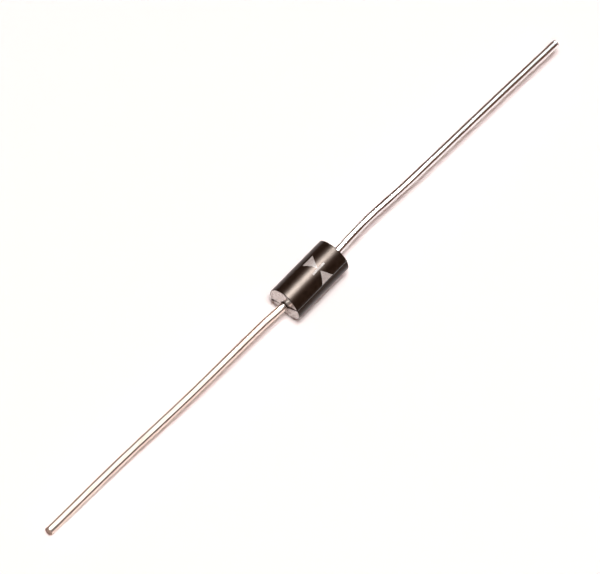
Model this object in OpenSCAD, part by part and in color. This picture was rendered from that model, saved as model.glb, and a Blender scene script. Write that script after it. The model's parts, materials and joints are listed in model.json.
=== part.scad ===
// Axial-lead transient-voltage suppressor diode, lying at rest on a level surface.
// X runs along the body's axis, Z is up, and the surface is the plane z = 0 under the body's centre.
// Lead A leaves toward -X and droops until its free end meets the surface.
// Lead B leaves toward +X and has a slight kink a few millimetres from the body.

/* [Moulded body] */
// Diameter of the moulded body
body_diameter = 3.4; // [2.9:0.05:4]
// Length of the moulded body at its parting plane
body_length = 6.4; // [5.6:0.1:8]
// Radius of the rim at each end of the body
rim_radius = 0.15; // [0.12:0.01:0.3]
// Slope of the end faces away from the parting plane, in degrees
end_draft = 3; // [1:0.25:3.5]
// Turn of the parting plane about the body's axis, in degrees
parting_roll = -30; // [-45:1:45]
// Height of the flash left along the parting plane
flash_height = 0.03; // [0.01:0.005:0.06]
// Thickness of the flash
flash_thickness = 0.06; // [0.03:0.005:0.12]

/* [Lead wire] */
// Diameter of the lead wire
wire_diameter = 0.77; // [0.6:0.01:0.9]
// Length of each lead outside the body, measured along the wire
lead_length = 28.5; // [24:0.1:34]
// Straight wire between the body and the first bend
stub_length = 0.3; // [0.15:0.05:1]
// Diameter of the flat head that meets the chip
head_diameter = 1.6; // [1.3:0.05:1.8]
// Thickness of the head
head_thickness = 0.4; // [0.3:0.05:0.6]
// Radius of the neck that blends the head into the wire
neck_radius = 0.2; // [0.1:0.05:0.25]
// Extra radius of the wire in its bends, which the straight runs end inside
bend_swell = 0.01; // [0.006:0.001:0.02]
// Length of each straight run that lies inside a bend
bend_lap = 0.05; // [0.02:0.01:0.08]

/* [Lead A] */
// Sideways distance from the body's axis to the free end
lead_a_reach = 1.04; // [0.6:0.01:3]
// Radius of the bend beside the body
lead_a_bend_radius = 4; // [2:0.5:12]

/* [Lead B] */
// Turn of the wire where it leaves the body, in degrees
splay_angle = 0.9; // [0.5:0.1:4]
// Radius of that turn
splay_radius = 10; // [4:0.5:20]
// Straight wire between that turn and the kink
kink_distance = 2.6; // [1:0.1:6]
// Turn of the kink, in degrees
kink_angle = 5.3; // [2:0.1:9]
// Radius of the kink
kink_radius = 27; // [12:1:60]
// Straight wire between the kink and the turn back
kink_gap = 0.3; // [0.1:0.05:2]
// Turn back after the kink, in degrees
return_angle = 2.3; // [0.5:0.1:3]
// Radius of the turn back
return_radius = 110; // [60:1:240]

/* [Chip stack] */
// Width of the square silicon chip
die_width = 1.7; // [1.4:0.05:1.9]
// Thickness of the chip
die_thickness = 0.28; // [0.2:0.01:0.4]
// Diameter of each solder joint
solder_diameter = 1.5; // [1.2:0.05:1.6]
// Thickness of each solder joint
solder_thickness = 0.06; // [0.03:0.005:0.1]
// Cover of the coating over the chip's corners
coating_cover = 0.1; // [0.06:0.01:0.14]
// Length of each head that the coating laps
coating_lap = 0.25; // [0.2:0.01:0.28]
// Rounding of the coating's edges
coating_round = 0.3; // [0.1:0.01:0.3]

/* [Hidden] */
$fn = 96;

TOWARD_A = 180;
TOWARD_B = 0;

axis_height = body_diameter / 2;
wire_radius = wire_diameter / 2;
head_radius = head_diameter / 2;

// Distances from the middle of the chip along the axis
solder_start = die_thickness / 2;
head_start = solder_start + solder_thickness;
head_end = head_start + head_thickness;
bend_start = body_length / 2 + stub_length;

// Lead A: the free end lies on the surface, so its drop follows from the two diameters.
lead_a_drop = axis_height - wire_radius;
lead_a_offset = norm([lead_a_reach, lead_a_drop]);
lead_a_roll = atan2(-lead_a_drop, -lead_a_reach);
lead_a_slope = asin(lead_a_offset / lead_length);
lead_a_run = lead_length - stub_length - arc_length(lead_a_slope, lead_a_bend_radius);
lead_a_bend = bend_that_reaches(lead_a_offset, lead_a_run, lead_a_bend_radius);

// Lead B: what the bends leave of the length is the straight run to the free end.
lead_b_bends = arc_length(splay_angle, splay_radius)
    + arc_length(kink_angle, kink_radius)
    + arc_length(return_angle, return_radius);
lead_b_run = lead_length - stub_length - kink_distance - kink_gap - lead_b_bends;

// The coating laps both heads and reaches just past the chip's corners.
coating_length = 2 * (head_start + coating_lap);
coating_radius = max(die_width / sqrt(2), head_radius) + coating_cover;

function arc_length(angle, radius) = radius * angle * PI / 180;

// Bend angle at which an arc and then a straight run end at the given distance from the first line
function bend_that_reaches(offset, run, radius) =
    atan2(radius, run) + asin((offset - radius) / norm([run, radius]));

// Places what is drawn along +X from the chip's middle on the body's axis, toward lead A or lead B
module on_axis(direction) {
    translate([0, 0, axis_height])
        rotate([0, 0, direction])
            children();
}

// Cylinder along +X
module rod(diameter, start, length) {
    translate([start, 0, 0])
        rotate([0, 90, 0])
            cylinder(d = diameter, h = length);
}

// Rectangle about the origin with rounded corners
module rounded_rectangle(size, radius) {
    square([size.x - 2 * radius, size.y], center = true);
    square([size.x, size.y - 2 * radius], center = true);
    for (x = [-1, 1], y = [-1, 1])
        translate([x * (size.x / 2 - radius), y * (size.y / 2 - radius)])
            circle(r = radius);
}

// Solid of revolution about X from a rectangle with rounded corners
module rounded_cylinder(diameter, length, radius) {
    rotate([0, 90, 0])
        rotate_extrude()
            intersection() {
                rounded_rectangle([diameter, length], radius);
                translate([0, -length / 2])
                    square([diameter / 2, length]);
            }
}

// Wire along +X that starts and ends in a bend: each step is a length, then the next bend's angle and radius
module wire_run(steps, index = 0) {
    step = steps[index];
    last = index == len(steps) - 1;
    rod(wire_diameter, -bend_lap, step[0] + (last ? 1 : 2) * bend_lap);
    if (!last)
        translate([step[0], 0, 0])
            wire_bend(step[1], step[2])
                wire_run(steps, index + 1);
}

// Arc of wire that turns from +X toward +Y, or toward -Y for a negative angle, and what follows it
module wire_bend(angle, radius) {
    flip = angle < 0 ? 180 : 0;
    rotate([flip, 0, 0])
        translate([0, radius, 0])
            rotate(-90) {
                rotate_extrude(angle = abs(angle))
                    translate([radius, 0])
                        circle(r = wire_radius + bend_swell);
                rotate(abs(angle))
                    translate([radius, 0])
                        rotate([flip, 0, 90])
                            children();
            }
}

// Nail head, neck and the straight wire through the body, which ends inside the first bend
module lead_core() {
    rotate([0, 90, 0])
        rotate_extrude() {
            translate([0, head_start])
                square([head_radius, head_thickness]);
            translate([0, head_end])
                square([wire_radius, bend_start + bend_lap - head_end]);
            difference() {
                translate([0, head_end])
                    square([wire_radius + neck_radius, neck_radius]);
                translate([wire_radius + neck_radius, head_end + neck_radius])
                    circle(r = neck_radius);
            }
        }
}

// What the two leads take up inside the body
module lead_cores() {
    for (direction = [TOWARD_A, TOWARD_B])
        on_axis(direction)
            lead_core();
}

// Full outline of the coating, before the stack is cut from it
module coating_bead() {
    rounded_cylinder(2 * coating_radius, coating_length, coating_round);
}

// Body shape from the mould: round, with rounded rims and end faces that slope from the parting plane
module mould_cavity() {
    slope_depth = body_diameter;
    slope_back = slope_depth * tan(end_draft);
    middle = body_length / 2;
    intersection() {
        rounded_cylinder(body_diameter, body_length, rim_radius);
        rotate([90, 0, 0])
            linear_extrude(2 * slope_depth, center = true)
                polygon([
                    [middle, 0],
                    [middle - slope_back, slope_depth],
                    [slope_back - middle, slope_depth],
                    [-middle, 0],
                    [slope_back - middle, -slope_depth],
                    [middle - slope_back, -slope_depth],
                ]);
    }
}

// Thin rib left where the two halves of the mould met
module flash() {
    linear_extrude(flash_thickness, center = true)
        rounded_rectangle(
            [body_length + 2 * flash_height, body_diameter + 2 * flash_height],
            rim_radius + flash_height
        );
}

module moulded_body() {
    color("#2b211d")
        difference() {
            on_axis(TOWARD_B)
                rotate([parting_roll, 0, 0]) {
                    mould_cavity();
                    flash();
                }
            on_axis(TOWARD_B)
                coating_bead();
            lead_cores();
        }
}

module lead_a() {
    color("#d9d4cf")
        on_axis(TOWARD_A) {
            lead_core();
            translate([bend_start, 0, 0])
                rotate([lead_a_roll, 0, 0])
                    wire_bend(lead_a_bend, lead_a_bend_radius)
                        wire_run([[lead_a_run]]);
        }
}

module lead_b() {
    color("#d9d4cf")
        on_axis(TOWARD_B) {
            lead_core();
            translate([bend_start, 0, 0])
                wire_bend(splay_angle, splay_radius)
                    wire_run([
                        [kink_distance, -kink_angle, kink_radius],
                        [kink_gap, return_angle, return_radius],
                        [lead_b_run],
                    ]);
        }
}

module silicon_die() {
    color("#4a4d55")
        on_axis(TOWARD_B)
            cube([die_thickness, die_width, die_width], center = true);
}

module solder_joint(direction) {
    color("#b8b8bc")
        on_axis(direction)
            rod(solder_diameter, solder_start, solder_thickness);
}

module solder_a() {
    solder_joint(TOWARD_A);
}

module solder_b() {
    solder_joint(TOWARD_B);
}

module junction_coating() {
    color("#e6e3da")
        difference() {
            on_axis(TOWARD_B)
                coating_bead();
            silicon_die();
            solder_a();
            solder_b();
            lead_cores();
        }
}

moulded_body();
lead_a();
lead_b();
silicon_die();
solder_a();
solder_b();
junction_coating();
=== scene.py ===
"""Looks of the axial suppressor diode on a pale studio floor.

Lengths are in millimetres and angles in radians, unless a comment says otherwise.
"""

import json
import math

import bpy
from mathutils import Matrix, Vector, noise

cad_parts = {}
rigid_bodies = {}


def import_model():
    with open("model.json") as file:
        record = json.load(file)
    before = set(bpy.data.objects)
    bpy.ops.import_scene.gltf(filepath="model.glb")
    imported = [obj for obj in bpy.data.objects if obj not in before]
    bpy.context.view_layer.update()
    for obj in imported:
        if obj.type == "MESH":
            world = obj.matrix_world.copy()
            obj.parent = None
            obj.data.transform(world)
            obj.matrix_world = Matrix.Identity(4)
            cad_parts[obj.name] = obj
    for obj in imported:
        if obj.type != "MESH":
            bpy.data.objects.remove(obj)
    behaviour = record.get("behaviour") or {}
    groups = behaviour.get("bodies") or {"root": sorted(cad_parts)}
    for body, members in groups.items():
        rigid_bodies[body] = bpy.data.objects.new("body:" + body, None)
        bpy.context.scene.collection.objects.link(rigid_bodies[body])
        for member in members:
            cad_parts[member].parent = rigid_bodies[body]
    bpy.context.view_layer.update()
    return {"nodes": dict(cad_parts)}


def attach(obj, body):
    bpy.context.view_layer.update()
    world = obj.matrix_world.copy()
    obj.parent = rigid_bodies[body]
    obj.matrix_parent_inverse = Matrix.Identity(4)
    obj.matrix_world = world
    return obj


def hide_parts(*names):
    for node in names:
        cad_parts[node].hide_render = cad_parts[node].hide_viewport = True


MM = 0.001

# The moulded body
BODY_RADIUS = 1.7
BODY_LENGTH = 6.4
RIM_RADIUS = 0.045
LOWER_DRAFT = math.radians(3)
UPPER_DRAFT_A = math.radians(4.4)
UPPER_DRAFT_B = math.radians(1.6)
PARTING_ROLL = math.radians(-30)

# How finely the body is divided
BODY_COLUMNS = 192
FACE_RADII = (0, 0.3, 0.6, 0.9, 1.2)
FACE_EDGE_SHARES = (0.9, 0.98)
FACE_BANDS = len(FACE_RADII) + len(FACE_EDGE_SHARES) - 1
RIM_STEPS = 7
SIDE_STEPS = 24
SIDE_INSET = 0.015

# The flash along the parting plane, and its lip on the end faces as (place across the face, height)
FLASH_HEIGHT = 0.024
FLASH_HALF_THICKNESS = 0.015
FLASH_ROOT = 0.1
FLASH_SHOULDER_SHARE = 0.6
FLASH_STEP = 0.08
FLASH_CORNER_STEPS = 8
LIP_HEIGHTS = ((-1.7, 0.04), (-0.4, 0.12), (0.4, 0.012), (1.0, 0.03), (1.5, 0.08), (1.8, 0.1))

# The outline's outward x beyond which the flash is a lip
LIP_FROM_OUTWARD_X = 0.7

# Both leads: the nail head on the chip, the neck and the wire
WIRE_RADIUS = 0.385
LEAD_LENGTH = 28.5
STUB_LENGTH = 0.3
BENDS_FROM = BODY_LENGTH / 2 + STUB_LENGTH
HEAD_RADIUS = 0.8
HEAD_MIDDLE_RADIUS = 0.05
HEAD_START = 0.2
HEAD_END = 0.6
NECK_RADIUS = 0.2
DISH_DEPTH = 0.01
DISH_RADIUS = 0.1
LEAD_AROUND = 40
NECK_STEPS = 5
TIP_STEPS = 6
WIRE_STEP = 0.2

# The slow waves of both wires, and the length over which a slanted cut fades out
WAVE_LENGTH = 18
WAVE_START = 2
WAVE_GROWTH = 2
SLANT_LENGTH = 1

# Lead A: one bend beside the body, and a free end that lies on the surface
LEAD_A_REACH = 1.3
LEAD_A_DROP = BODY_RADIUS - WIRE_RADIUS
LEAD_A_BEND_RADIUS = 4

# Lead B: a turn where it leaves the body, a kink, and a turn part of the way back
SPLAY_TURN = math.radians(1.1)
SPLAY_RADIUS = 10
KINK_DISTANCE = 2.8
KINK_TURN = math.radians(5)
KINK_RADIUS = 32
KINK_GAP = 0.3
RETURN_TURN = math.radians(1.7)
RETURN_RADIUS = 124

# The skin of epoxy on each lead, with its profile as (share of its length, thickness)
BLEED_PROFILE = (
    (-0.2, 0.04),
    (0, 0.035),
    (0.12, 0.014),
    (0.2, 0.012),
    (0.5, 0.012),
    (0.9, 0.01),
    (1, 0.004),
    (1.02, -0.02),
)
BLEED_LENGTH = 0.1
BLEED_LONGER_ON_TOP = 0.03
BLEED_RAGGED = 0.04
BLEED_WAVES = 2.5
BLEED_SINK = 0.02
BLEED_AROUND = 48

# The printed sign: places round the body from its middle, and half lengths along the body
SIGN_X = 0.72
SIGN_TURN = math.radians(-14)
BAR_HALF_WIDTH = 0.08
BAR_HALF_LENGTH = 0.72
ARROW_TIP = 0.24
ARROW_BASE = 1.3
ARROW_TIP_HALF_LENGTH = 0.02
ARROW_BASE_HALF_LENGTH = 0.66
SIGN_COLUMNS = 20
SIGN_ROWS = 8
INK_THICKNESS = 0.004
INK_RAGGED = 0.03
INK_WAVES = 7
INK_SEED = 1.5

# The part of its range that noise seldom leaves
NOISE_SPAN = (0.3, 0.7)

# The floor: as light bounces off it, and as the camera and reflections see it
FLOOR_HALF = 1500
PAPER_COLOUR = (0.85, 0.83, 0.82)
OVEREXPOSED_COLOUR = (1.14, 1.07, 1.065)

# The camera, fitted to the photograph, with pixels of a frame of that width
FRAME_WIDTH_PIXELS = 600
FOCAL_PIXELS = 4499.5
CENTRE_PIXELS = (9.322, -7.001)
CAMERA_DISTANCE = 385
CAMERA_ELEVATION = math.radians(64.545)
CAMERA_TURN = math.radians(48.472)
SENSOR_WIDTH = 36
CLIP_START = 10
CLIP_END = 10000

# The lean along the part's axis at which the camera sees things mirrored in the body's side
MIRROR_LEAN = math.asin(math.sin(CAMERA_TURN) * math.cos(CAMERA_ELEVATION))

# The curved lights, and how their glow falls off round the part
ARC_DISTANCE = 1100
ARC_STEPS = 48
GLOW_STOPS = 25
CORE_SPREAD = math.radians(12.4)
CORE_COLOUR = (0.88, 0.97, 1)
HALO_SHARE = 0.09
HALO_COLOUR = (1, 0.8, 0.7)
WING_EDGE = math.radians(12)
WING_COLOUR = (1, 0.98, 0.95)

# The side lights: angles in degrees, and the field round each core as a share of that core
SIDE_MIDDLE = 5.5
SIDE_REACH = 75
SIDE_STRENGTH = 10
SIDE_FIELD = 0.035
DIM_STRENGTH = 0.9
DIM_FIELD = 0.4

# The softbox, with its power in watts, and the dim warm room round it
SOFTBOX_DIRECTION = (-0.03, -0.14, 1)
SOFTBOX_DISTANCE = 1100
SOFTBOX_SIZE = 420
SOFTBOX_POWER = 10.9
ROOM_COLOUR = (1, 0.52, 0.38)
ROOM_STRENGTH = 0.16


# Meshes


def make_piece(name, points, faces, materials, slots=None, sharp=None):
    """Smooth-shaded object, with a material slot for each face and a test for sharp edges where given."""
    mesh = bpy.data.meshes.new(name)
    mesh.from_pydata([Vector(p) * MM for p in points], [], faces)
    for material in materials:
        mesh.materials.append(material)
    for polygon in mesh.polygons:
        polygon.use_smooth = True
        if slots:
            polygon.material_index = slots[polygon.index]
    if sharp:
        for edge in mesh.edges:
            edge.use_edge_sharp = sharp(*edge.vertices)
    mesh.validate()
    mesh.update()
    piece = bpy.data.objects.new(name, mesh)
    bpy.context.scene.collection.objects.link(piece)
    return piece


def loop_faces(columns, rows):
    """Quads between columns of points that close into a loop."""
    faces = []
    for j in range(columns):
        after = (j + 1) % columns
        for i in range(rows - 1):
            a, b = j * rows + i, after * rows + i
            faces.append((a, a + 1, b + 1, b))
    return faces


def tube_faces(rings, around):
    """Quads between rings of points, one ring after another."""
    faces = []
    for i in range(rings - 1):
        here, following = i * around, (i + 1) * around
        for j in range(around):
            after = (j + 1) % around
            faces.append((here + j, here + after, following + after, following + j))
    return faces


def to_body(x, along, above):
    """Point at a distance along the parting plane and one above it, turned to where the body lies."""
    c, s = math.cos(PARTING_ROLL), math.sin(PARTING_ROLL)
    return Vector((x, along * c - above * s, BODY_RADIUS + along * s + above * c))


def end_profile(slope):
    """Profile (x, radius) of one end, from the axis out over the rim, for an end face of that slope."""
    lean = math.hypot(1, slope)
    half = BODY_LENGTH / 2
    rim_centre = BODY_RADIUS - RIM_RADIUS
    rim_x = half - slope * rim_centre - RIM_RADIUS * lean
    face_edge = rim_centre + RIM_RADIUS * slope / lean
    radii = [*FACE_RADII, *(face_edge * share for share in FACE_EDGE_SHARES)]
    profile = [(half - slope * r, r) for r in radii]
    start = math.atan2(slope, 1)
    for step in range(RIM_STEPS + 1):
        a = start + (math.pi / 2 - start) * step / RIM_STEPS
        profile.append((rim_x + RIM_RADIUS * math.cos(a), rim_centre + RIM_RADIUS * math.sin(a)))
    return profile


def body_profile(turn):
    """Profile (x, radius) of the body from end to end, at a turn about its axis from the parting plane."""
    rise = math.sin(turn)
    drafts = (UPPER_DRAFT_A, UPPER_DRAFT_B) if rise > 0 else (LOWER_DRAFT, LOWER_DRAFT)
    end_a, end_b = (end_profile(abs(rise) * math.tan(draft)) for draft in drafts)
    from_x, to_x = -end_a[-1][0], end_b[-1][0]
    side = [from_x + SIDE_INSET]
    side += [from_x + (to_x - from_x) * k / SIDE_STEPS for k in range(1, SIDE_STEPS)]
    side += [to_x - SIDE_INSET]
    return [(-x, r) for x, r in end_a] + [(x, BODY_RADIUS) for x in side] + end_b[::-1]


def body_piece(side_material, end_material):
    """The moulded body: round, with end faces that slope back on both sides of the parting plane."""
    points = []
    for j in range(BODY_COLUMNS):
        turn = 2 * math.pi * j / BODY_COLUMNS
        points += [to_body(x, r * math.cos(turn), r * math.sin(turn)) for x, r in body_profile(turn)]
    rows = len(points) // BODY_COLUMNS
    bands = rows - 1
    slots = [int(i < FACE_BANDS or i >= bands - FACE_BANDS) for i in range(bands)] * BODY_COLUMNS

    def on_parting_plane(a, b):
        return a // rows == b // rows and a // rows in (0, BODY_COLUMNS // 2)

    materials = [side_material, end_material]
    faces = loop_faces(BODY_COLUMNS, rows)
    return make_piece("moulded_body_skin", points, faces, materials, slots, on_parting_plane)


def lip_height(across):
    """Height of the lip on an end face, between the places where it is given."""
    for (a, low), (b, high) in zip(LIP_HEIGHTS, LIP_HEIGHTS[1:]):
        if across <= b:
            return low + (high - low) * max(0, across - a) / (b - a)
    return LIP_HEIGHTS[-1][1]


def flash_outline():
    """The body's outline in its parting plane, as (x, y, outward x, outward y) in small steps."""
    corners = []
    for quarter, (sign_x, sign_y) in enumerate(((1, 1), (-1, 1), (-1, -1), (1, -1))):
        for step in range(FLASH_CORNER_STEPS + 1):
            a = math.pi / 2 * (quarter + step / FLASH_CORNER_STEPS)
            x = sign_x * (BODY_LENGTH / 2 - RIM_RADIUS) + RIM_RADIUS * math.cos(a)
            y = sign_y * (BODY_RADIUS - RIM_RADIUS) + RIM_RADIUS * math.sin(a)
            corners.append((x, y, math.cos(a), math.sin(a)))
    outline = []
    for here, after in zip(corners, corners[1:] + corners[:1]):
        count = max(1, round(math.dist(here[:2], after[:2]) / FLASH_STEP))
        for t in (step / count for step in range(count)):
            outline.append([p * (1 - t) + q * t for p, q in zip(here, after)])
    return outline


def uneven(x, y, waves, seed, middle, swing):
    """Share about a middle one that swings from place to place, with so many waves in a millimetre."""
    return middle + swing * noise.noise(Vector((x * waves, y * waves, seed)))


def flash_section(x, y, out_x):
    """Section of the flash as (distance outward, level): a thin rib on the side, a lip on an end face."""
    rib = FLASH_HEIGHT * uneven(x, y, waves=1.7, seed=3.1, middle=0.75, swing=0.5)
    thick = FLASH_HALF_THICKNESS * uneven(x, y, waves=2.3, seed=7.7, middle=0.8, swing=0.4)
    high = rib * (1 - abs(out_x)) + lip_height(y) * abs(out_x)
    shoulder = high * FLASH_SHOULDER_SHARE
    return (-FLASH_ROOT, -thick), (shoulder, -thick), (high, 0), (shoulder, thick), (-FLASH_ROOT, thick)


def flash_piece(side_material, lip_material):
    """The thin uneven rib where the two halves of the mould met, which stands out on the end faces."""
    outline = flash_outline()
    points = []
    for x, y, out_x, out_y in outline:
        section = flash_section(x, y, out_x)
        points += [to_body(x + out_x * out, y + out_y * out, level) for out, level in section]
    rows = len(points) // len(outline)
    slots = [int(abs(out_x) > LIP_FROM_OUTWARD_X) for _, _, out_x, _ in outline for _ in range(rows - 1)]
    faces = loop_faces(len(outline), rows)
    return make_piece("parting_flash", points, faces, [side_material, lip_material], slots)


def bend(turn, radius):
    """Bend of a route, as its length and its turn."""
    return radius * abs(turn), turn


def lead_a_route():
    """Route of lead A as (length, turn) pieces, with the bend that takes its free end to the surface."""
    offset = math.hypot(LEAD_A_REACH, LEAD_A_DROP)
    radius = LEAD_A_BEND_RADIUS
    run = LEAD_LENGTH - STUB_LENGTH - radius * math.asin(offset / LEAD_LENGTH)
    turn = math.atan2(radius, run) + math.asin((offset - radius) / math.hypot(run, radius))
    return [(BENDS_FROM, 0), bend(turn, radius), (run, 0)]


def lead_b_route():
    """Route of lead B as (length, turn) pieces, of which the last is what the bends leave."""
    route = [
        (BENDS_FROM, 0),
        bend(SPLAY_TURN, SPLAY_RADIUS),
        (KINK_DISTANCE, 0),
        bend(-KINK_TURN, KINK_RADIUS),
        (KINK_GAP, 0),
        bend(RETURN_TURN, RETURN_RADIUS),
    ]
    run = BODY_LENGTH / 2 + LEAD_LENGTH - sum(length for length, _ in route)
    return [*route, (run, 0)]


def place_on_route(route, s):
    """Forward distance, sideways distance and heading at length s of a route of (length, turn) pieces."""
    forward = sideways = heading = 0.0
    for length, turn in route:
        t = min(s, length)
        angle = turn * t / length
        if turn:
            radius = length / turn
            forward += radius * (math.sin(heading + angle) - math.sin(heading))
            sideways += radius * (math.cos(heading) - math.cos(heading + angle))
        else:
            forward += t * math.cos(heading)
            sideways += t * math.sin(heading)
        heading += angle
        s -= t
        if s <= 0:
            break
    return forward, sideways, heading


def wander(s, length, wave, bow):
    """Shift of a wire off its route at length s of it: slow waves to the side and one long bow."""
    free = max(0, s - BENDS_FROM)
    phase = 2 * math.pi * (s - BENDS_FROM - WAVE_START) / WAVE_LENGTH
    sway = wave * min(1, free / WAVE_GROWTH) * (1 + math.cos(phase))
    arch = math.sin(math.pi * free / (length - BENDS_FROM))
    return Vector((0, sway, 0)) + Vector(bow) * arch


def lead_rings(length, tip_round):
    """Rings (place along the route, radius) of a lead: head, neck, wire, rounded tip and dished cut."""
    rings = [(HEAD_START, HEAD_MIDDLE_RADIUS), (HEAD_START, HEAD_RADIUS), (HEAD_END, HEAD_RADIUS)]
    for step in range(NECK_STEPS + 1):
        a = math.pi / 2 * step / NECK_STEPS
        place = HEAD_END + NECK_RADIUS * (1 - math.cos(a))
        rings.append((place, WIRE_RADIUS + NECK_RADIUS * (1 - math.sin(a))))
    first, last = rings[-1][0], length - tip_round
    count = round((last - first) / WIRE_STEP)
    rings += [(first + (last - first) * k / count, WIRE_RADIUS) for k in range(1, count + 1)]
    for step in range(1, TIP_STEPS + 1):
        a = math.pi / 2 * step / TIP_STEPS
        rings.append((last + tip_round * math.sin(a), WIRE_RADIUS - tip_round * (1 - math.cos(a))))
    rings.append((length - DISH_DEPTH, DISH_RADIUS))
    return rings


def lead_piece(name, route, ahead, beside, tip_round, materials, wave, bow=(0, 0, 0), slant=0):
    """A lead from its nail head on the chip to its cut end, swept along its route."""
    length = sum(part for part, _ in route)
    rings = lead_rings(length, tip_round)
    origin = Vector((0, 0, BODY_RADIUS))
    ahead, beside = Vector(ahead), Vector(beside).normalized()
    across = ahead.cross(beside)
    points = []
    for s, r in rings:
        forward, sideways, heading = place_on_route(route, s)
        centre = origin + ahead * forward + beside * sideways + wander(s, length, wave, bow)
        normal = beside * math.cos(heading) - ahead * math.sin(heading)
        near_tip = max(0, s - length + SLANT_LENGTH) / SLANT_LENGTH
        for j in range(LEAD_AROUND):
            a = 2 * math.pi * j / LEAD_AROUND
            point = centre + (normal * math.cos(a) + across * math.sin(a)) * r
            points.append(point - ahead * slant * near_tip * (point.z - centre.z + WIRE_RADIUS))
    bands = len(rings) - 1
    last = bands * LEAD_AROUND
    head_cap = tuple(reversed(range(LEAD_AROUND)))
    cut_cap = tuple(range(last, last + LEAD_AROUND))
    faces = tube_faces(len(rings), LEAD_AROUND) + [head_cap, cut_cap]
    slots = [int(i >= bands - TIP_STEPS) for i in range(bands) for _ in range(LEAD_AROUND)] + [0, 1]
    return make_piece(name, points, faces, materials, slots)


def bleed_piece(name, ahead, material):
    """Thin uneven skin of epoxy that crept along a lead where it leaves the body, longest on top."""
    start = BODY_LENGTH / 2 - BLEED_SINK
    points = []
    for share, thick in BLEED_PROFILE:
        r = WIRE_RADIUS + thick
        for j in range(BLEED_AROUND):
            a = 2 * math.pi * j / BLEED_AROUND
            ragged = BLEED_RAGGED * noise.noise(Vector((math.sin(a), math.cos(a), ahead)) * BLEED_WAVES)
            length = BLEED_LENGTH + BLEED_LONGER_ON_TOP * math.cos(a) + ragged
            x = ahead * (start + share * length)
            points.append(Vector((x, r * math.sin(a), BODY_RADIUS + r * math.cos(a))))
    faces = tube_faces(len(BLEED_PROFILE), BLEED_AROUND)
    if ahead > 0:
        faces = [quad[::-1] for quad in faces]
    return make_piece(name, points, faces, [material])


def sign_point(u, v):
    """Point of the sign at a distance round the body and one along it, shifted as ragged ink is."""
    ragged = INK_RAGGED * noise.noise(Vector((u, v, INK_SEED)) * INK_WAVES)
    angle = SIGN_TURN + (u + ragged) / BODY_RADIUS
    r = BODY_RADIUS + INK_THICKNESS
    return Vector((SIGN_X + v + ragged, r * math.sin(angle), BODY_RADIUS + r * math.cos(angle)))


def sign_piece(material):
    """A plain printed sign round the body: two filled arrowheads that face a bar."""
    shapes = [
        ((-BAR_HALF_WIDTH, BAR_HALF_LENGTH), (BAR_HALF_WIDTH, BAR_HALF_LENGTH)),
        ((-ARROW_BASE, ARROW_BASE_HALF_LENGTH), (-ARROW_TIP, ARROW_TIP_HALF_LENGTH)),
        ((ARROW_TIP, ARROW_TIP_HALF_LENGTH), (ARROW_BASE, ARROW_BASE_HALF_LENGTH)),
    ]
    points, faces = [], []
    for (from_u, from_half), (to_u, to_half) in shapes:
        first = len(points)
        for t in (i / SIGN_COLUMNS for i in range(SIGN_COLUMNS + 1)):
            u = from_u + (to_u - from_u) * t
            half = from_half + (to_half - from_half) * t
            points += [sign_point(u, half * (2 * j / SIGN_ROWS - 1)) for j in range(SIGN_ROWS + 1)]
        for i in range(SIGN_COLUMNS):
            for j in range(SIGN_ROWS):
                a = first + i * (SIGN_ROWS + 1) + j
                b = a + SIGN_ROWS + 1
                faces.append((a, a + 1, b + 1, b))
    return make_piece("printed_sign", points, faces, [material])


# Materials


def new_material(name, **settings):
    """Material with its node tree and its shader, whose sockets are set by name."""
    material = bpy.data.materials.new(name)
    material.use_nodes = True
    shader = material.node_tree.nodes["Principled BSDF"]
    for socket, value in settings.items():
        shader.inputs[socket.replace("_", " ")].default_value = value
    return material, material.node_tree, shader


def empty_material(name):
    """Material with an empty node tree."""
    material = bpy.data.materials.new(name)
    material.use_nodes = True
    material.node_tree.nodes.clear()
    return material, material.node_tree


def math_node(tree, operation, first, second):
    """Math node that works on two outputs."""
    node = tree.nodes.new("ShaderNodeMath")
    node.operation = operation
    tree.links.new(first, node.inputs[0])
    tree.links.new(second, node.inputs[1])
    return node


def noise_at(tree, scale, detail, stretch=(1, 1, 1)):
    """Noise in the part's own coordinates, with about scale features in a millimetre."""
    place = tree.nodes.new("ShaderNodeTexCoord")
    mapping = tree.nodes.new("ShaderNodeMapping")
    mapping.inputs["Scale"].default_value = stretch
    texture = tree.nodes.new("ShaderNodeTexNoise")
    texture.inputs["Scale"].default_value = scale / MM
    texture.inputs["Detail"].default_value = detail
    tree.links.new(place.outputs["Object"], mapping.inputs["Vector"])
    tree.links.new(mapping.outputs["Vector"], texture.inputs["Vector"])
    return texture.outputs["Fac"]


def ramp_from(tree, value, stops):
    """Colour that follows a value through (position, colour) stops."""
    ramp = tree.nodes.new("ShaderNodeValToRGB")
    elements = ramp.color_ramp.elements
    while len(elements) < len(stops):
        elements.new(1)
    for element, (position, colour) in zip(elements, stops):
        element.position = position
        element.color = (*colour, 1)
    tree.links.new(value, ramp.inputs["Fac"])
    return ramp.outputs["Color"]


def colour_from(tree, value, shader, tones, span=NOISE_SPAN):
    """Colours a shader by a value that runs through evenly spaced tones over a span."""
    low, high = span
    gap = (high - low) / (len(tones) - 1)
    colour = ramp_from(tree, value, [(low + gap * k, tone) for k, tone in enumerate(tones)])
    tree.links.new(colour, shader.inputs["Base Color"])


def roughness_from(tree, value, shader, smooth, rough):
    """Varies a shader's roughness with a value."""
    spread = tree.nodes.new("ShaderNodeMapRange")
    spread.inputs["From Min"].default_value, spread.inputs["From Max"].default_value = NOISE_SPAN
    spread.inputs["To Min"].default_value = smooth
    spread.inputs["To Max"].default_value = rough
    tree.links.new(value, spread.inputs["Value"])
    tree.links.new(spread.outputs["Result"], shader.inputs["Roughness"])


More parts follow.
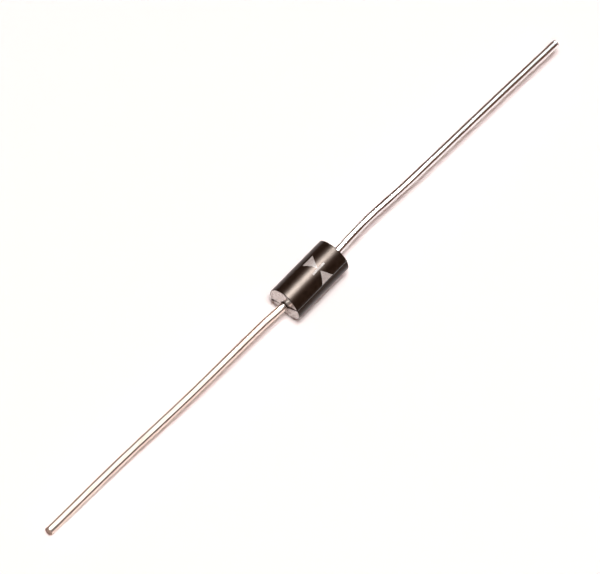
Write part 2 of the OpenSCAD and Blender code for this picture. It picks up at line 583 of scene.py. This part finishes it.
def bump_from(tree, value, shader, height, strength):
    """Gives a shader bumps of a height that follows a value."""
    bump = tree.nodes.new("ShaderNodeBump")
    bump.inputs["Strength"].default_value = strength
    bump.inputs["Distance"].default_value = height * MM
    tree.links.new(value, bump.inputs["Height"])
    tree.links.new(bump.outputs["Normal"], shader.inputs["Normal"])


def epoxy_side():
    """Glossy black epoxy, as the round side of the mould left it."""
    material, tree, shader = new_material("epoxy_side", IOR=1.235, Specular_Tint=(1, 0.78, 0.67, 1))
    tones = [(0.0138, 0.0078, 0.005), (0.023, 0.0135, 0.0092)]
    colour_from(tree, noise_at(tree, scale=2.5, detail=6), shader, tones)
    roughness_from(tree, noise_at(tree, scale=1.2, detail=5), shader, smooth=0.05, rough=0.08)
    bump_from(tree, noise_at(tree, scale=9, detail=3), shader, height=0.001, strength=0.06)
    return material


def epoxy_end():
    """End faces: strong gloss over a grey base colour, which is lifted partly as painted reflection of the
    pale floor.
    """
    tint = (1, 0.94, 0.91, 1)
    material, tree, shader = new_material("epoxy_end", IOR=3.0, Specular_IOR_Level=0.87, Specular_Tint=tint)
    # Grey tones lifted above the black epoxy: partly painted reflection of the pale floor
    tones = [(0.2, 0.175, 0.165), (0.3, 0.265, 0.25)]
    colour_from(tree, noise_at(tree, scale=3, detail=6), shader, tones)
    roughness_from(tree, noise_at(tree, scale=2, detail=5), shader, smooth=0.1, rough=0.18)
    bump_from(tree, noise_at(tree, scale=9, detail=3), shader, height=0.003, strength=0.12)
    return material


def epoxy_flash():
    """Dull dark grey of the torn flash."""
    material, tree, shader = new_material("epoxy_flash", IOR=1.7)
    tones = [(0.035, 0.026, 0.022), (0.075, 0.056, 0.047)]
    colour_from(tree, noise_at(tree, scale=5, detail=4), shader, tones)
    roughness_from(tree, noise_at(tree, scale=4, detail=3), shader, smooth=0.35, rough=0.5)
    return material


def tin(name, tones, smooth, rough):
    """Tin plating with faint streaks along the wire."""
    material, tree, shader = new_material(name, Metallic=1.0)
    streaks = noise_at(tree, scale=6, detail=5, stretch=(0.06, 1, 1))
    colour_from(tree, streaks, shader, tones, span=(0.25, 0.75))
    patches = noise_at(tree, scale=1.4, detail=4, stretch=(0.4, 1, 1))
    roughness_from(tree, patches, shader, smooth, rough)
    grooves = noise_at(tree, scale=5, detail=1, stretch=(0.05, 1, 1))
    bump_from(tree, grooves, shader, height=0.003, strength=0.1)
    return material


def cut_copper():
    """Dull rough metal of the cut ends, brown where the copper shows."""
    material, tree, shader = new_material("cut_copper", Metallic=1.0)
    tones = [(0.2, 0.125, 0.092), (0.41, 0.29, 0.235)]
    colour_from(tree, noise_at(tree, scale=8, detail=4), shader, tones)
    roughness_from(tree, noise_at(tree, scale=10, detail=3), shader, smooth=0.5, rough=0.7)
    bump_from(tree, noise_at(tree, scale=12, detail=3), shader, height=0.01, strength=0.5)
    return material


def ink():
    """Pale grey ink, a little patchy."""
    material, tree, shader = new_material("white_ink")
    tones = [(0.36, 0.325, 0.31), (0.54, 0.5, 0.48)]
    colour_from(tree, noise_at(tree, scale=9, detail=5), shader, tones, span=(0.3, 0.6))
    roughness_from(tree, noise_at(tree, scale=6, detail=3), shader, smooth=0.2, rough=0.32)
    return material


def inner(name, tones, smooth, rough, metallic=0.0):
    """Plain material of a piece inside the body."""
    material, tree, shader = new_material(name, Metallic=metallic)
    colour_from(tree, noise_at(tree, scale=4, detail=5), shader, tones)
    roughness_from(tree, noise_at(tree, scale=6, detail=3), shader, smooth, rough)
    return material


def diffuse(tree, colour):
    """Diffuse shader of one colour."""
    shader = tree.nodes.new("ShaderNodeBsdfDiffuse")
    shader.inputs["Color"].default_value = (*colour, 1)
    return shader


def floor_material():
    """Pale paper, which the camera and reflections see as an overexposed warm white."""
    material, tree = empty_material("pale_floor")
    path = tree.nodes.new("ShaderNodeLightPath").outputs
    seen = math_node(tree, "ADD", path["Is Camera Ray"], path["Is Glossy Ray"])
    seen_at_all = math_node(tree, "ADD", seen.outputs[0], path["Is Transmission Ray"])
    seen_at_all.use_clamp = True
    mix = tree.nodes.new("ShaderNodeMixShader")
    out = tree.nodes.new("ShaderNodeOutputMaterial")
    tree.links.new(seen_at_all.outputs[0], mix.inputs["Fac"])
    tree.links.new(diffuse(tree, PAPER_COLOUR).outputs[0], mix.inputs[1])
    tree.links.new(diffuse(tree, OVEREXPOSED_COLOUR).outputs[0], mix.inputs[2])
    tree.links.new(mix.outputs[0], out.inputs["Surface"])
    return material


# Stage


def add_floor():
    """The pale floor under the part."""
    half = FLOOR_HALF
    corners = [(-half, -half, 0), (half, -half, 0), (half, half, 0), (-half, half, 0)]
    floor = make_piece("floor", corners, [(0, 1, 2, 3)], [floor_material()])


def core_glow(off):
    """Share of a light's core that is left at an angle off its middle."""
    return math.exp(-((off / CORE_SPREAD) ** 2) / 2)


def strip_glow(off, reach):
    """Colour of the strip light at an angle off its middle: a bright core in a wide dim halo."""
    halo = HALO_SHARE * (1 - abs(off) / reach)
    return [core_glow(off) * c + halo * h for c, h in zip(CORE_COLOUR, HALO_COLOUR)]


def wing_glow(off, reach):
    """Colour of a wing light at an angle off its middle: even, with soft edges."""
    inside = min(1, (reach - abs(off)) / WING_EDGE)
    return [inside * c for c in WING_COLOUR]


def side_glow(off, _):
    """Colour of a side light at an angle off its middle: a bright core in a faint even field."""
    return [core_glow(off) * c + SIDE_FIELD for c in CORE_COLOUR]


def dim_glow(off, _):
    """Colour of the dim light at an angle off its middle: a core in a grey field."""
    return [core_glow(off) * c + DIM_FIELD for c in CORE_COLOUR]


def glow_material(name, middle, reach, strength, glow):
    """Light whose colour follows the angle about the part's axis, from vertical toward +Y."""
    material, tree = empty_material(name)
    place = tree.nodes.new("ShaderNodeTexCoord")
    axes = tree.nodes.new("ShaderNodeSeparateXYZ")
    tree.links.new(place.outputs["Object"], axes.inputs["Vector"])
    angle = math_node(tree, "ARCTAN2", axes.outputs["Y"], axes.outputs["Z"])
    share = tree.nodes.new("ShaderNodeMapRange")
    share.inputs["From Min"].default_value = middle - reach
    share.inputs["From Max"].default_value = middle + reach
    tree.links.new(angle.outputs[0], share.inputs["Value"])
    positions = [k / (GLOW_STOPS - 1) for k in range(GLOW_STOPS)]
    stops = [(position, glow(reach * (2 * position - 1), reach)) for position in positions]
    emission = tree.nodes.new("ShaderNodeEmission")
    emission.inputs["Strength"].default_value = strength
    tree.links.new(ramp_from(tree, share.outputs["Result"], stops), emission.inputs["Color"])
    out = tree.nodes.new("ShaderNodeOutputMaterial")
    tree.links.new(emission.outputs[0], out.inputs["Surface"])
    return material


def add_arc_light(name, leans, middle, reach, strength, glow):
    """Curved light over the part that only mirrors show, with all its angles in degrees.

    It lies between two leans along the part's axis, counted from where the camera sees it in the body.
    """
    middle, reach = math.radians(middle), math.radians(reach)
    points = []
    for k in range(ARC_STEPS + 1):
        a = middle + reach * (2 * k / ARC_STEPS - 1)
        for lean in (MIRROR_LEAN + math.radians(lean) for lean in leans):
            across = math.cos(lean)
            toward = Vector((math.sin(lean), across * math.sin(a), across * math.cos(a)))
            points.append(toward * ARC_DISTANCE)
    faces = [(2 * k, 2 * k + 1, 2 * k + 3, 2 * k + 2) for k in range(ARC_STEPS)]
    arc = make_piece(name, points, faces, [glow_material(name + "_glow", middle, reach, strength, glow)])
    arc.visible_camera = False
    arc.visible_diffuse = False
    arc.visible_shadow = False


def add_softbox():
    """The overhead softbox, which faces the part and casts its soft shadow."""
    lamp = bpy.data.lights.new("overhead_softbox", "AREA")
    lamp.shape = "SQUARE"
    lamp.size = SOFTBOX_SIZE * MM
    lamp.energy = SOFTBOX_POWER
    place = bpy.data.objects.new("overhead_softbox", lamp)
    back = Vector(SOFTBOX_DIRECTION).normalized()
    side = Vector((1, 0, 0)).cross(back).normalized()
    turn = Matrix((side, back.cross(side), back)).transposed().to_4x4()
    place.matrix_world = Matrix.Translation(back * SOFTBOX_DISTANCE * MM) @ turn
    place.visible_camera = False
    place.visible_glossy = False
    bpy.context.scene.collection.objects.link(place)


def add_room():
    """The dim warm light of the room."""
    world = bpy.data.worlds.new("studio")
    world.use_nodes = True
    background = world.node_tree.nodes["Background"]
    background.inputs["Color"].default_value = (*ROOM_COLOUR, 1)
    background.inputs["Strength"].default_value = ROOM_STRENGTH
    bpy.context.scene.world = world


def add_camera():
    """The photograph's camera."""
    e, t = CAMERA_ELEVATION, CAMERA_TURN
    right = Vector((math.cos(t), -math.sin(t), 0))
    ahead = Vector((math.sin(t) * math.cos(e), math.cos(t) * math.cos(e), -math.sin(e)))
    up = right.cross(ahead)
    pixel = CAMERA_DISTANCE / FOCAL_PIXELS
    eye = Vector((0, 0, BODY_RADIUS)) - ahead * CAMERA_DISTANCE
    eye += (up * CENTRE_PIXELS[1] - right * CENTRE_PIXELS[0]) * pixel
    camera = bpy.data.cameras.new("camera")
    camera.sensor_width = SENSOR_WIDTH
    camera.lens = SENSOR_WIDTH * FOCAL_PIXELS / FRAME_WIDTH_PIXELS
    camera.clip_start = CLIP_START * MM
    camera.clip_end = CLIP_END * MM
    place = bpy.data.objects.new("camera", camera)
    turn = Matrix((right, up, -ahead)).transposed().to_4x4()
    place.matrix_world = Matrix.Translation(eye * MM) @ turn
    bpy.context.scene.collection.objects.link(place)
    bpy.context.scene.camera = place


# Scene

for leftover in list(bpy.data.objects):
    bpy.data.objects.remove(leftover)
bpy.context.scene.view_settings.view_transform = "Standard"

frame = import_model()

side = epoxy_side()
body = body_piece(side, epoxy_end())
flash = flash_piece(epoxy_flash(), side)
bleeds = [bleed_piece("bleed_a", -1, side), bleed_piece("bleed_b", 1, side)]
sign = sign_piece(ink())

copper = cut_copper()
warm_tones = [(0.68, 0.58, 0.505), (0.8, 0.705, 0.635), (0.85, 0.78, 0.725)]
grey_tones = [(0.6, 0.605, 0.61), (0.81, 0.815, 0.82), (0.92, 0.925, 0.93)]
lead_a = lead_piece(
    "lead_a_wire",
    lead_a_route(),
    ahead=(-1, 0, 0),
    beside=(0, LEAD_A_REACH, -LEAD_A_DROP),
    tip_round=0.17,
    materials=[tin("tinned_wire_a", warm_tones, smooth=0.1, rough=0.16), copper],
    wave=0.045,
    bow=(0, -0.09, 0.28),
    slant=0.25,
)
lead_b = lead_piece(
    "lead_b_wire",
    lead_b_route(),
    ahead=(1, 0, 0),
    beside=(0, 1, 0),
    tip_round=0.16,
    materials=[tin("tinned_wire_b", grey_tones, smooth=0.06, rough=0.1), copper],
    wave=0.015,
)

for piece in (body, flash, *bleeds, sign, lead_a, lead_b):
    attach(piece, "root")
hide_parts("moulded_body")
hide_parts("lead_a")
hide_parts("lead_b")

silicon = inner("silicon", [(0.05, 0.053, 0.062), (0.09, 0.095, 0.11)], smooth=0.15, rough=0.3)
solder = inner("solder", [(0.36, 0.36, 0.37), (0.5, 0.5, 0.52)], smooth=0.35, rough=0.5, metallic=1.0)
silicone = inner("silicone", [(0.66, 0.63, 0.56), (0.78, 0.76, 0.7)], smooth=0.5, rough=0.65)
inside = {"silicon_die": silicon, "solder_a": solder, "solder_b": solder, "junction_coating": silicone}
for node, material in inside.items():
    mesh = frame["nodes"][node].data
    mesh.materials.clear()
    mesh.materials.append(material)

add_floor()
add_arc_light("strip_light", leans=(-0.85, 0.85), middle=5.5, reach=52, strength=90, glow=strip_glow)
add_arc_light("wing_light_a", leans=(-17, -3), middle=1, reach=57.5, strength=1.5, glow=wing_glow)
add_arc_light("wing_light_b", leans=(1.2, 9), middle=1.5, reach=34.5, strength=1.25, glow=wing_glow)
add_arc_light("side_light_a", (-40, -17), SIDE_MIDDLE, SIDE_REACH, SIDE_STRENGTH, side_glow)
add_arc_light("dim_light_a", (-57, -40), SIDE_MIDDLE, SIDE_REACH, DIM_STRENGTH, dim_glow)
add_arc_light("end_light_a", (-90, -57), SIDE_MIDDLE, SIDE_REACH, SIDE_STRENGTH, side_glow)
add_arc_light("side_light_b", (9, 56), SIDE_MIDDLE, SIDE_REACH, SIDE_STRENGTH, side_glow)
add_softbox()
add_room()
add_camera()
